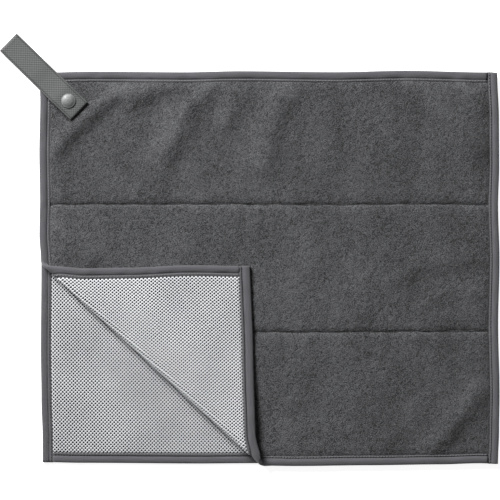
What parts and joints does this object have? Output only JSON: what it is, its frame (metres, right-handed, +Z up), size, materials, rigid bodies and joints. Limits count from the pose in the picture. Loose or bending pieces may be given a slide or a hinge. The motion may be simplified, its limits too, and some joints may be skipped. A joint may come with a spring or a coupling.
{
  "type": "quilted terry towel with a mesh reverse and a snap strap",
  "caption": "Dark grey quilted terry towel with a light mesh reverse and bound edges, lying flat with a corner turned back, and a webbing hanging strap closed by a metal snap.",
  "frame": {"origin": "middle of the bounding box in plan, on the surface the towel lies on", "axes": "+X along the towel's width to the right as pictured, +Y up its height as pictured, +Z up from the surface"},
  "size_m": [0.5118, 0.4436, 0.0184],
  "materials": {
    "terry": "dark grey short terry pile, matte",
    "mesh": "light grey knitted mesh with small round holes",
    "binding": "dark grey smooth woven binding tape",
    "webbing": "grey plain-woven flat webbing",
    "metal": "satin grey metal"
  },
  "bodies": {
    "root": {"upper_terry": "terry", "lower_terry": "terry", "upper_mesh": "mesh", "lower_mesh": "mesh", "upper_binding_left": "binding", "upper_binding_right": "binding", "upper_binding_top": "binding", "upper_binding_bottom": "binding", "lower_binding_left": "binding", "lower_binding_right": "binding", "lower_binding_top": "binding", "lower_binding_bottom": "binding", "strap": "webbing", "snap_cap": "metal", "snap_socket": "metal", "snap_stud": "metal"}
  },
  "joints": []
}
